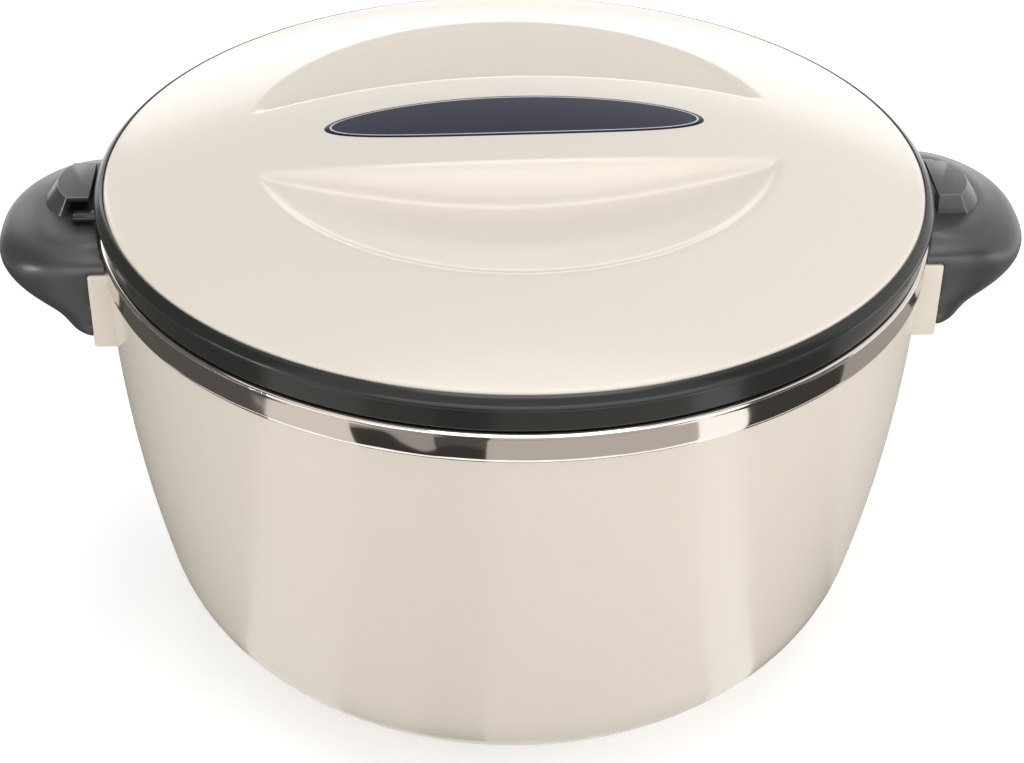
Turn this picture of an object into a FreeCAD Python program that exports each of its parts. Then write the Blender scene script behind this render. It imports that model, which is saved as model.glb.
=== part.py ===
import FreeCAD, Part
import math
import os

import Sketcher
from FreeCAD import Placement, Rotation, Vector

# Insulated casserole with a twist-lock lid.
# Millimetres, +Z up, origin at the centre of the rest face, handles along X.

os.makedirs("parts", exist_ok=True)
document = FreeCAD.newDocument("insulated_casserole")

# Driving sizes
driving_sizes = {
    # outer shell
    "shell_radius": 145.2,
    "shell_height": 170.2,
    "shell_wall": 2.6,
    "straight_drop": 12.2,
    "side_arc": 530.0,
    "corner_arc": 52.0,
    "foot_lift": 1.6,
    "foot_land": 6.0,
    "recess_depth": 7.0,
    # handle pads moulded on the shell
    "pad_proud": 2.4,
    "pad_half_width": 39.5,
    "pad_drop": 6.2,
    "pad_height": 29.0,
    # steel parts of the pot
    "band_wall": 0.8,
    "band_height": 9.7,
    "band_flange": 11.2,
    "band_gap": 0.1,
    "band_to_pad": 0.3,
    "vessel_wall": 0.8,
    "side_foam": 13.6,
    "floor_foam": 17.0,
    "vessel_flange_inset": 7.7,
    "vessel_corner": 26.0,
    # base plate and its fasteners
    "plate_gap": 0.3,
    "plate_wall": 2.0,
    "plate_rim": 4.0,
    "plate_drop": 1.6,
    "base_screw_inset": 20.0,
    "boss_radius": 5.0,
    "boss_height": 9.0,
    "fill_hole": 8.0,
    "plug_head": 11.0,
    "plug_head_height": 1.4,
    "plug_gap": 0.1,
    "plug_reach": 1.3,
    # fasteners
    "screw_radius": 1.6,
    "screw_head": 3.2,
    "head_height": 1.8,
    "screw_gap": 0.1,
    "base_screw_length": 10.0,
    "handle_screw_spread": 29.0,
    "handle_screw_drop": 14.0,
    "handle_screw_grip": 9.0,
    "handle_screw_play": 0.65,
    "cap_screw_spread": 6.0,
    "cap_screw_stand": 4.5,
    "cap_screw_radius": 1.2,
    "cap_screw_head": 2.4,
    "cap_screw_bite": 2.6,
    # handles: how far below the hood each level lies, and how far it stands out from the pad
    "hood_gap": 0.8,
    "toe_drop": 32.2,
    "toe_reach": 8.5,
    "ankle_drop": 28.4,
    "ankle_reach": 15.0,
    "shin_drop": 24.8,
    "shin_reach": 20.0,
    "palm_drop": 20.5,
    "palm_reach": 28.5,
    "bulge_drop": 12.0,
    "bulge_reach": 35.0,
    "brow_drop": 6.0,
    "brow_reach": 32.0,
    "crown_drop": 2.2,
    "crown_reach": 26.0,
    "hood_reach": 20.5,
    "handle_half_width": 39.0,
    "crown_half_width": 35.0,
    "hood_half_width": 29.5,
    "handle_roundness": 2.45,
    "handle_back": 3.6,
    "shoulder_depth": 7.0,
    "shoulder_gap": 0.3,
    "grip_half_width": 24.0,
    "grip_wall": 5.5,
    "grip_roundness": 3.2,
    "grip_low": 1.8,
    "roof_wall": 5.5,
    "roof_flare": 1.375,
    # latch caps
    "cap_stand": 2.0,
    "cap_height": 6.9,
    "cap_half_length": 13.8,
    "cap_top_half_length": 12.6,
    "cap_shift": 2.8,
    "cap_side_wall": 2.8,
    "cap_lean": 2.9,
    "cap_foot_bow": 17.8,
    "cap_top_bow": 20.0,
    "slot_play": 2.4,
    "slot_headroom": 1.5,
    "slot_end": 9.5,
    # lid ring
    "ring_lift": 0.5,
    "ring_foot_proud": 0.2,
    "ring_neck_proud": 0.6,
    "ring_proud": 1.8,
    "ring_wall": 2.8,
    "neck_height": 7.5,
    "lip_height": 1.6,
    "lip_round": 4.2,
    "lip_step": 0.6,
    "deck_lift": 5.7,
    "deck_wall": 2.4,
    "deck_inset": 19.2,
    "rim_gap": 0.15,
    "lug_lift": 0.4,
    "lug_height": 2.4,
    "lug_length": 7.3,
    "lug_lead": 1.5,
    "lug_width": 5.4,
    # lid top
    "lid_inset": 3.3,
    "shoulder_rise": 2.8,
    "crown_rise": 19.8,
    "lid_wall": 2.6,
    "well_radius": 94.0,
    "well_rise": 3.8,
    "bridge_half_width": 32.6,
    "bridge_end_half_width": 19.0,
    "bridge_draft": 22.0,
    "bridge_turn": 2.0,
    "badge_half_length": 66.5,
    "badge_half_width": 13.8,
    "badge_depth": 0.9,
    "badge_proud": 0.25,
    "badge_gap": 0.15,
    # lid underside
    "liner_wall": 0.8,
    "liner_flange_inset": 9.7,
    "liner_play": 2.0,
    "liner_draw": 2.5,
    "liner_depth": 13.0,
    "liner_corner": 6.0,
    "lid_hole": 6.0,
    "lid_plug_head": 9.0,
    "seal_inset": 1.0,
    "seal_width": 6.5,
    "seal_lift": 0.3,
}

sheet = document.addObject("Spreadsheet::Sheet", "sizes")
for row, (name, number) in enumerate(driving_sizes.items(), start=1):
    sheet.set("A%d" % row, name)
    sheet.set("B%d" % row, str(number))
    sheet.setAlias("B%d" % row, name)
document.recompute()


class Size:
    # A number together with the words that work it out

    def __init__(self, value, text):
        self.value = value
        self.text = text

    def __add__(self, other):
        other = as_size(other)
        return Size(self.value + other.value, "(%s + %s)" % (self.text, other.text))

    def __sub__(self, other):
        other = as_size(other)
        return Size(self.value - other.value, "(%s - %s)" % (self.text, other.text))

    def __mul__(self, other):
        other = as_size(other)
        return Size(self.value * other.value, "(%s * %s)" % (self.text, other.text))

    def __truediv__(self, other):
        other = as_size(other)
        return Size(self.value / other.value, "(%s / %s)" % (self.text, other.text))

    def __neg__(self):
        return Size(-self.value, "(0 - %s)" % self.text)

    def root(self):
        return Size(math.sqrt(self.value), "sqrt(%s)" % self.text)


def as_size(item):
    return item if isinstance(item, Size) else Size(float(item), "%.6f" % item)


class SizeTable:
    pass


size = SizeTable()
for name in driving_sizes:
    setattr(size, name, Size(float(sheet.get(name)), "sizes.%s" % name))
zero = Size(0.0, "0")


# Sizes that follow from the driving ones: the pot
straight_height = size.shell_height - size.straight_drop
band_outer_radius = size.shell_radius + size.band_gap + size.band_wall
band_inner_radius = size.shell_radius - size.band_flange
band_bottom = size.shell_height - size.band_height
band_top = size.shell_height + size.band_wall
flange_top = band_top + size.vessel_wall
vessel_flange_radius = size.shell_radius - size.vessel_flange_inset
pad_reach = size.shell_radius + size.pad_proud
pad_top = size.shell_height - size.pad_drop
pad_bottom = pad_top - size.pad_height
recess_top = size.foot_lift + size.recess_depth
shell_floor = recess_top + size.shell_wall
vessel_inner_radius = size.shell_radius - size.shell_wall - size.side_foam - size.vessel_wall
vessel_floor = shell_floor + size.floor_foam
pad_middle = size.shell_radius - size.shell_wall / 2
screw_hole = size.screw_radius + size.screw_gap
handle_screw_height = pad_top - size.handle_screw_drop

# The lid ring and its lugs
ring_bottom = flange_top + size.ring_lift
ring_foot_radius = size.shell_radius + size.ring_foot_proud
ring_neck_radius = size.shell_radius + size.ring_neck_proud
ring_radius = size.shell_radius + size.ring_proud
lip_bottom = ring_bottom + size.neck_height
lip_top = lip_bottom + size.lip_height
deck_bottom = ring_bottom + size.deck_lift
deck_top = deck_bottom + size.deck_wall
deck_bore = size.shell_radius - size.deck_inset
lug_bottom = ring_bottom + size.lug_lift
lug_top = lug_bottom + size.lug_height
lug_reach = ring_radius + size.lug_length

# The lid top, liner and seal
lid_radius = ring_radius - size.lid_inset
lid_edge = lip_top + size.shoulder_rise
lid_crown = lid_edge + size.crown_rise
well_floor = lid_edge + size.well_rise
crown_arc = (lid_radius * lid_radius + size.crown_rise * size.crown_rise) / (size.crown_rise * 2)
liner_flange_radius = lid_radius - size.liner_flange_inset
liner_radius = deck_bore - size.liner_play
liner_foot_radius = liner_radius - size.liner_draw
liner_bottom = deck_bottom - size.liner_depth
seal_outer_radius = vessel_flange_radius - size.seal_inset
seal_inner_radius = seal_outer_radius - size.seal_width

# The handles and latch caps
hood_height = ring_bottom - size.hood_gap
grip_roof = hood_height - size.roof_wall
toe_height = hood_height - size.toe_drop
shin_height = hood_height - size.shin_drop
bulge_height = hood_height - size.bulge_drop
cap_inner = ring_radius + size.cap_stand
cap_top = hood_height + size.cap_height
slot_reach = lug_reach + size.slot_play
slot_roof = lug_top + size.slot_headroom
cap_end_reach = slot_reach + size.cap_side_wall
cap_top_end_reach = cap_end_reach - size.cap_lean
cap_screw_reach = slot_reach + size.cap_screw_stand


# Outline helpers
def bind(item, prop, amount):
    amount = as_size(amount)
    item.setExpression(prop, amount.text)


def origin_item(body, role):
    return next(item for item in body.Origin.OriginFeatures if item.Role == role)


def new_body(name):
    body = document.addObject("PartDesign::Body", name)
    body.Label = name
    return body


def new_sketch(body, name, role, height=None):
    sketch = body.newObject("Sketcher::SketchObject", name)
    sketch.AttachmentSupport = [(origin_item(body, role), "")]
    sketch.MapMode = "FlatFace"
    if height is not None:
        bind(sketch, "AttachmentOffset.Base.z", height)
    return sketch


def constrain(sketch, kind, items, amount):
    if kind != "Radius" and amount.text == "0":
        axis = -2 if kind == "DistanceX" else -1
        sketch.addConstraint(Sketcher.Constraint("PointOnObject", items[0], items[1], axis))
        return
    start = (-1, 1) if kind != "Radius" else ()
    constraint = Sketcher.Constraint(kind, *start, *items, amount.value)
    index = sketch.addConstraint(constraint)
    sketch.setExpression("Constraints[%d]" % index, amount.text)


def arc_between(first, last, radius, bend):
    # bend is +1 for an arc that turns left on its way, -1 for one that turns right
    chord = last - first
    middle = (first + last) * 0.5
    left = Vector(-chord.y, chord.x, 0).normalize()
    rise = math.sqrt(max(radius ** 2 - (chord.Length / 2) ** 2, 0))
    centre = middle + left * (rise * bend)
    begin, end = (first, last) if bend > 0 else (last, first)
    angles = [math.atan2(point.y - centre.y, point.x - centre.x) for point in (begin, end)]
    return Part.ArcOfCircle(Part.Circle(centre, Vector(0, 0, 1), radius), angles[0], angles[1])


def outline(sketch, start, steps):
    # A closed loop: each step is (x, y) for a straight edge or (x, y, radius, bend) for an arc,
    # and the last step leads back to the start
    corners = [start] + [step[:2] for step in steps]
    corners = [(as_size(x), as_size(y)) for x, y in corners]
    points = [Vector(x.value, y.value, 0) for x, y in corners]
    ends = []
    for index, step in enumerate(steps):
        first = points[index]
        last = points[index + 1]
        if len(step) == 2:
            edge = sketch.addGeometry(Part.LineSegment(first, last))
            ends.append((edge, 1, 2))
        else:
            radius = as_size(step[2])
            edge = sketch.addGeometry(arc_between(first, last, radius.value, step[3]))
            ends.append((edge, 1, 2) if step[3] > 0 else (edge, 2, 1))
            constrain(sketch, "Radius", (edge,), radius)
    for index, (edge, begin, end) in enumerate(ends):
        following = ends[(index + 1) % len(ends)]
        sketch.addConstraint(Sketcher.Constraint("Coincident", edge, end, following[0], following[1]))
        constrain(sketch, "DistanceX", (edge, begin), corners[index][0])
        constrain(sketch, "DistanceY", (edge, begin), corners[index][1])


def hole_circle(sketch, x, y, radius):
    x, y, radius = as_size(x), as_size(y), as_size(radius)
    centre = Vector(x.value, y.value, 0)
    edge = sketch.addGeometry(Part.Circle(centre, Vector(0, 0, 1), radius.value))
    constrain(sketch, "Radius", (edge,), radius)
    constrain(sketch, "DistanceX", (edge, 3), x)
    constrain(sketch, "DistanceY", (edge, 3), y)


def turned(body, name, start, steps, feature="PartDesign::Revolution"):
    sketch = new_sketch(body, name + "_sketch", "XZ_Plane")
    outline(sketch, start, steps)
    solid = body.newObject(feature, name)
    solid.Profile = sketch
    solid.ReferenceAxis = (sketch, ["V_Axis"])
    solid.Angle = 360
    sketch.Visibility = False
    document.recompute()
    return solid


def raised(body, name, height, length, draw, draft=None):
    # Material added upwards from a height
    sketch = new_sketch(body, name + "_sketch", "XY_Plane", height)
    draw(sketch)
    pad = body.newObject("PartDesign::Pad", name)
    pad.Profile = sketch
    bind(pad, "Length", length)
    if draft is not None:
        bind(pad, "TaperAngle", draft)
    document.recompute()
    return pad


def sunk(body, name, height, length, draw):
    # Material cut away upwards from a height, which has to leave less than before
    before = body.Shape.Volume
    sketch = new_sketch(body, name + "_sketch", "XY_Plane", height)
    draw(sketch)
    pocket = body.newObject("PartDesign::Pocket", name)
    pocket.Profile = sketch
    pocket.Reversed = True
    bind(pocket, "Length", length)
    document.recompute()
    if pocket.Shape.Volume >= before:
        raise RuntimeError("%s cuts nothing" % name)
    return pocket


def around(body, name, feature, copies):
    pattern = body.newObject("PartDesign::PolarPattern", name)
    pattern.Originals = [feature]
    pattern.Axis = (origin_item(body, "Z_Axis"), [""])
    pattern.Angle = 360
    pattern.Occurrences = copies
    body.Tip = pattern
    document.recompute()
    return pattern


# Solid helpers
def rod(name, radius, length, x, y, z, along="Z"):
    cylinder = document.addObject("Part::Cylinder", name)
    bind(cylinder, "Radius", radius)
    bind(cylinder, "Height", length)
    turn = Rotation(Vector(0, 1, 0), 90) if along == "X" else Rotation()
    cylinder.Placement = Placement(Vector(0, 0, 0), turn)
    bind(cylinder, "Placement.Base.x", x)
    bind(cylinder, "Placement.Base.y", y)
    bind(cylinder, "Placement.Base.z", z)
    return cylinder


def joined(name, pieces):
    fuse = document.addObject("Part::MultiFuse", name)
    fuse.Shapes = pieces
    return fuse


def less(name, base, tool):
    cut = document.addObject("Part::Cut", name)
    cut.Base = base
    cut.Tool = tool
    return cut


def opposite(name, source):
    # A copy turned half a turn about the pot's axis
    copy = document.addObject("Part::Compound", name)
    copy.Links = [source]
    copy.Placement = Placement(Vector(0, 0, 0), Rotation(Vector(0, 0, 1), 180))
    return copy


# Bowl outline shared by the shell, the foam and the vessel
def bowl_points(inset, corner, bottom):
    # Tangent points of the side arc and the corner arc, inset from the shell's outer face
    radius = size.shell_radius - inset
    side = size.side_arc - inset
    side_x = radius - side
    drop = straight_height - bottom - corner
    reach = side - corner
    corner_x = side_x + (reach * reach - drop * drop).root()
    ratio = side / reach
    meet_x = side_x + (corner_x - side_x) * ratio
    meet_z = straight_height - drop * ratio
    return radius, side, corner_x, meet_x, meet_z


def bowl_side_up(inset, corner, bottom, top):
    # Steps from the bottom's tangent point up the outside to the top
    radius, side, corner_x, meet_x, meet_z = bowl_points(inset, corner, bottom)
    return [
        (corner_x, bottom),
        (meet_x, meet_z, corner, 1),
        (radius, straight_height, side, 1),
        (radius, top),
    ]


def bowl_side_down(inset, corner, bottom):
    radius, side, corner_x, meet_x, meet_z = bowl_points(inset, corner, bottom)
    return [
        (radius, straight_height),
        (meet_x, meet_z, side, -1),
        (corner_x, bottom, corner, -1),
    ]


recess_radius = bowl_points(zero, size.corner_arc, size.foot_lift)[2] - size.foot_land
base_screw_circle = recess_radius - size.base_screw_inset


# Outer shell with recessed floor, pads, screw bosses and fill hole
def make_shell():
    body = new_body("shell_moulding")
    inner_corner = size.corner_arc - size.shell_wall
    inner_bottom = size.foot_lift + size.shell_wall
    inner_recess = recess_radius + size.shell_wall
    start = (zero, recess_top)
    steps = [(recess_radius, recess_top), (recess_radius, size.foot_lift)]
    steps += bowl_side_up(zero, size.corner_arc, size.foot_lift, size.shell_height)
    steps += [(size.shell_radius - size.shell_wall, size.shell_height)]
    steps += bowl_side_down(size.shell_wall, inner_corner, inner_bottom)
    steps += [(inner_recess, inner_bottom), (inner_recess, shell_floor), (zero, shell_floor), start]
    turned(body, "shell_bowl", start, steps)

    half = size.pad_half_width
    inside = (pad_middle * pad_middle - half * half).root()

    def pad_outline(sketch):
        outline(sketch, (inside, -half), [
            (pad_reach, -half),
            (pad_reach, half),
            (inside, half),
            (inside, -half, pad_middle, -1),
        ])

    pad = raised(body, "handle_pad", pad_bottom, pad_top - pad_bottom, pad_outline)
    around(body, "handle_pads", pad, 2)

    groove_radius = band_outer_radius + size.band_to_pad
    groove_bottom = band_bottom - size.band_to_pad
    groove_top = pad_top + size.shell_wall
    before = body.Shape.Volume
    corner = (size.shell_radius, groove_bottom)
    turned(body, "band_clearance", corner, [
        (groove_radius, groove_bottom),
        (groove_radius, groove_top),
        (size.shell_radius, groove_top),
        corner,
    ], "PartDesign::Groove")
    if body.Shape.Volume >= before:
        raise RuntimeError("the band clearance cuts nothing")

    def boss_outline(sketch):
        hole_circle(sketch, base_screw_circle, zero, size.boss_radius)

    boss = raised(body, "screw_boss", shell_floor, size.boss_height, boss_outline)
    around(body, "screw_bosses", boss, 4)

    def fill_outline(sketch):
        hole_circle(sketch, zero, zero, size.fill_hole)

    sunk(body, "fill_opening", recess_top, size.shell_wall, fill_outline)

    def bore_outline(sketch):
        for x, y in compass(base_screw_circle):
            hole_circle(sketch, x, y, screw_hole)

    bore = size.base_screw_length - size.plate_drop - size.plate_wall + size.screw_gap
    sunk(body, "screw_bores", recess_top, bore, bore_outline)

    bores = [handle_screw_rod("shell_bore", screw_hole, side) for side in (1, -1)]
    both = joined("shell_bores", bores)
    other = opposite("shell_bores_left", both)
    all_bores = joined("shell_all_bores", [both, other])
    return less("outer_shell", body, all_bores)


def compass(radius):
    return [(radius, zero), (zero, radius), (-radius, zero), (zero, -radius)]


# Handle screws, driven outwards from inside the shell
handle_screw_seat = (
    (size.shell_radius - size.shell_wall) * (size.shell_radius - size.shell_wall)
    - (size.handle_screw_spread + size.screw_head) * (size.handle_screw_spread + size.screw_head)
).root() - size.handle_screw_play


def handle_screw_rod(name, radius, side):
    start = handle_screw_seat
    length = pad_reach + size.handle_screw_grip - start
    spread = size.handle_screw_spread * side
    return rod("%s_%s" % (name, "back" if side > 0 else "front"), radius, length,
               start, spread, handle_screw_height, "X")


def make_handle_screws(side_name):
    pieces = []
    for side in (1, -1):
        pieces.append(handle_screw_rod(side_name + "_shank", size.screw_radius, side))
        spread = size.handle_screw_spread * side
        pieces.append(rod("%s_head_%d" % (side_name, side + 1), size.screw_head, size.head_height,
                          handle_screw_seat - size.head_height, spread,
                          handle_screw_height, "X"))
    return joined(side_name + "_screw_pair", pieces)


# Steel trim band with its inward flange
def make_band():
    body = new_body("rim_band")
    inner = size.shell_radius + size.band_gap
    start = (band_inner_radius, size.shell_height)
    rounding = size.band_wall
    turned(body, "band_profile", start, [
        (inner, size.shell_height),
        (inner, band_bottom),
        (band_outer_radius, band_bottom),
        (band_outer_radius, band_top - rounding),
        (band_outer_radius - rounding, band_top, rounding, 1),
        (band_inner_radius, band_top),
        start,
    ])
    return body


# Stainless bowl with its flange
def make_vessel():
    body = new_body("inner_vessel")
    outer_inset = size.shell_wall + size.side_foam
    inner_inset = outer_inset + size.vessel_wall
    outer_corner = size.vessel_corner + size.vessel_wall
    start = (zero, vessel_floor)
    steps = bowl_side_up(outer_inset, outer_corner, vessel_floor, band_top)
    steps += [
        (vessel_flange_radius, band_top),
        (vessel_flange_radius, flange_top),
        (vessel_inner_radius, flange_top),
    ]
    steps += bowl_side_down(inner_inset, size.vessel_corner, vessel_floor + size.vessel_wall)
    steps += [(zero, vessel_floor + size.vessel_wall), start]
    turned(body, "vessel_profile", start, steps)
    return body


# Rigid foam between shell and vessel
def make_body_foam(screw_cutters):
    body = new_body("foam_pour")
    inner_corner = size.corner_arc - size.shell_wall
    inner_bottom = size.foot_lift + size.shell_wall
    inner_recess = recess_radius + size.shell_wall
    vessel_inset = size.shell_wall + size.side_foam
    vessel_corner = size.vessel_corner + size.vessel_wall
    start = (zero, shell_floor)
    steps = [(inner_recess, shell_floor), (inner_recess, inner_bottom)]
    steps += bowl_side_up(size.shell_wall, inner_corner, inner_bottom, size.shell_height)
    steps += [(size.shell_radius - vessel_inset, size.shell_height)]
    steps += bowl_side_down(vessel_inset, vessel_corner, vessel_floor)
    steps += [(zero, vessel_floor), start]
    turned(body, "foam_profile", start, steps)

    def boss_outline(sketch):
        for x, y in compass(base_screw_circle):
            hole_circle(sketch, x, y, size.boss_radius)

    sunk(body, "boss_hollows", shell_floor, size.boss_height, boss_outline)

    def plug_outline(sketch):
        hole_circle(sketch, zero, zero, size.fill_hole)

    sunk(body, "plug_hollow", shell_floor, size.plug_reach, plug_outline)
    return less("body_foam", body, screw_cutters)


# Base plate that the pot stands on
def make_base_plate():
    body = new_body("base_plate")
    outer = recess_radius - size.plate_gap
    disc_top = recess_top - size.plate_drop
    disc_bottom = disc_top - size.plate_wall
    start = (zero, disc_bottom)
    turned(body, "plate_profile", start, [
        (outer - size.plate_rim, disc_bottom),
        (outer - size.plate_rim, zero),
        (outer, zero),
        (outer, recess_top),
        (outer - size.plate_rim, recess_top),
        (outer - size.plate_rim, disc_top),
        (zero, disc_top),
        start,
    ])

    def spacer_outline(sketch):
        hole_circle(sketch, base_screw_circle, zero, size.boss_radius)

    spacer = raised(body, "plate_spacer", disc_top, size.plate_drop, spacer_outline)
    around(body, "plate_spacers", spacer, 4)

    def bore_outline(sketch):
        for x, y in compass(base_screw_circle):
            hole_circle(sketch, x, y, screw_hole)

    sunk(body, "plate_bores", disc_bottom, size.plate_wall + size.plate_drop, bore_outline)
    return body


def make_base_screws():
    pieces = []
    seat = recess_top - size.plate_drop - size.plate_wall
    for index, (x, y) in enumerate(compass(base_screw_circle)):
        pieces.append(rod("base_shank_%d" % index, size.screw_radius, size.base_screw_length,
                          x, y, seat))
        pieces.append(rod("base_head_%d" % index, size.screw_head, size.head_height,
                          x, y, seat - size.head_height))
    return joined("base_screws", pieces)


def make_plug(name, hole, head, seat, length):
    stem = rod(name + "_stem", hole - size.plug_gap, length, zero, zero, seat)
    flat = rod(name + "_head", head, size.plug_head_height, zero, zero,
               seat - size.plug_head_height)
    return joined(name, [stem, flat])


# Handle: half-superellipse sections stacked from the toe up to the hood
section_steps = 9


def half_section(base, reach, half_width, level, roundness):
    power = 2 / roundness
    points = []
    for index in range(-section_steps, section_steps + 1):
        angle = math.pi / 2 * index / section_steps
        across = abs(math.sin(angle)) ** power * half_width * math.copysign(1, index)
        out = abs(math.cos(angle)) ** power * reach
        points.append(Vector(base + out, across, level))
    curve = Part.BSplineCurve()
    curve.interpolate(Points=points)
    chord = Part.LineSegment(points[-1], points[0])
    return Part.Wire([curve.toShape(), chord.toShape()])


def handle_form():
    base = pad_reach.value
    full = size.handle_half_width.value
    levels = [
        (size.toe_drop, size.toe_reach, full),
        (size.ankle_drop, size.ankle_reach, full),
        (size.shin_drop, size.shin_reach, full),
        (size.palm_drop, size.palm_reach, full),
        (size.bulge_drop, size.bulge_reach, full),
        (size.brow_drop, size.brow_reach, full),
        (size.crown_drop, size.crown_reach, size.crown_half_width.value),
        (zero, size.hood_reach, size.hood_half_width.value),
    ]
    roundness = size.handle_roundness.value
    sections = [
        half_section(base, reach.value, half, (hood_height - drop).value, roundness)
        for drop, reach, half in levels
    ]
    return Part.makeLoft(sections, True, False)


def grip_hollow():
    # Finger space: open below and in front of the palm, roofed by the hood
    base = pad_reach.value + size.handle_back.value
    half = size.grip_half_width.value
    wall = size.grip_wall.value
    back = size.handle_back.value
    low = shin_height.value + size.grip_low.value
    roof = grip_roof.value
    levels = [
        (low, size.palm_reach.value - wall - back),
        (bulge_height.value, size.bulge_reach.value - wall - back),
        (roof, size.hood_reach.value - back + size.roof_flare.value),
    ]
    roundness = size.grip_roundness.value
    sections = [half_section(base, reach, half, level, roundness) for level, reach in levels]
    room = Part.makeLoft(sections, True, False)
    depth = low - toe_height.value + wall
    mouth = Part.makeBox(size.bulge_reach.value + wall, half * 2, depth,
                         Vector(base, -half, toe_height.value - wall))
    corners = [edge for edge in mouth.Edges
               if abs(edge.Vertexes[0].Z - edge.Vertexes[-1].Z) > depth / 2
               and edge.Vertexes[0].X < base + wall]
    mouth = mouth.makeFillet(back, corners)
    return room.fuse(mouth)


def handle_shoulder(form):
    # The back face of the handle, carried on over the pad as far as the steel band
    base = pad_reach.value
    low = (pad_top + size.shoulder_gap).value
    tall = hood_height.value - low
    deep = size.shoulder_depth.value
    half = size.handle_half_width.value
    backs = [face for face in form.Faces if face.BoundBox.XMax < base + size.shoulder_gap.value]
    carried = backs[0].extrude(Vector(-deep, 0, 0))
    slab = Part.makeBox(deep, half * 2, tall, Vector(base - deep, -half, low))
    bore_radius = (band_outer_radius + size.shoulder_gap).value
    bore = Part.makeCylinder(bore_radius, tall, Vector(0, 0, low))
    return carried.common(slab).cut(bore)


def make_handle(side_name, cutters):
    form = document.addObject("Part::Feature", side_name + "_grip_form")
    outside = handle_form()
    form.Shape = outside.fuse(handle_shoulder(outside)).cut(grip_hollow())
    return less(side_name + "_handle", form, cutters)


# Latch cap: a faceted cover with a slot that a lid lug slides into
def cap_outline(inner, end_reach, half_length, bow):
    front = half_length + size.cap_shift
    back = half_length - size.cap_shift

    def draw(sketch):
        outline(sketch, (inner, -front), [
            (end_reach, -front),
            (end_reach, back, bow, 1),
            (inner, back),
            (inner, -front),
        ])
    return draw


def make_cap(side_name):
    body = new_body(side_name + "_cap_moulding")
    foot = new_sketch(body, side_name + "_cap_foot", "XY_Plane", hood_height)
    cap_outline(cap_inner, cap_end_reach, size.cap_half_length, size.cap_foot_bow)(foot)
    top = new_sketch(body, side_name + "_cap_face", "XY_Plane", cap_top)
    cap_outline(cap_inner, cap_top_end_reach, size.cap_top_half_length,
                size.cap_top_bow)(top)
    loft = body.newObject("PartDesign::AdditiveLoft", side_name + "_cap_form")
    loft.Profile = foot
    loft.Sections = [top]
    loft.Ruled = True
    document.recompute()

    # The lug comes in from behind, and the slot ends at a wall in front
    mouth = size.cap_half_length + size.slot_end
    inside = cap_inner - size.slot_end

    def slot_outline(sketch):
        outline(sketch, (inside, -size.slot_end), [
            (slot_reach, -size.slot_end),
            (slot_reach, mouth),
            (inside, mouth),
            (inside, -size.slot_end),
        ])

    sunk(body, side_name + "_cap_slot", hood_height, slot_roof - hood_height,
         slot_outline)
    return body


def cap_screw_rods(name, radius, start, length):
    rods = []
    for side in (1, -1):
        spread = size.cap_screw_spread * side - size.cap_shift
        rods.append(rod("%s_%d" % (name, side + 1), radius, length,
                        cap_screw_reach, spread, start))
    return rods


# Lid ring: foot, neck, lip, deck and two lugs
def make_ring():
    body = new_body("lid_ring")
    start = (deck_bore, deck_bottom)
    skirt_inner = ring_foot_radius - size.ring_wall
    shoulder = lid_radius + size.rim_gap
    shoulder_top = lid_edge - size.rim_gap
    turned(body, "ring_profile", start, [
        (skirt_inner, deck_bottom),
        (skirt_inner, ring_bottom),
        (ring_foot_radius, ring_bottom),
        (ring_neck_radius, lip_bottom - size.lip_step),
        (ring_radius, lip_bottom),
        (ring_radius, lip_top),
        (shoulder, shoulder_top, size.lip_round, 1),
        (shoulder, deck_top),
        (deck_bore, deck_top),
        start,
    ])
    near = size.cap_half_length - size.cap_shift + size.lug_lead
    far = near + size.lug_width
    reach_squared = lug_reach * lug_reach
    root = ring_foot_radius - size.ring_wall / 2
    near_root = (root * root - near * near).root()
    far_root = (root * root - far * far).root()
    near_tip = (reach_squared - near * near).root()
    far_tip = (reach_squared - far * far).root()

    def lug_outline(sketch):
        outline(sketch, (near_root, near), [
            (near_tip, near),
            (far_tip, far, lug_reach, 1),
            (far_root, far),
            (near_root, near, root, -1),
        ])

    lug = raised(body, "ring_lug", lug_bottom, lug_top - lug_bottom, lug_outline)
    around(body, "ring_lugs", lug, 2)
    return body


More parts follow.
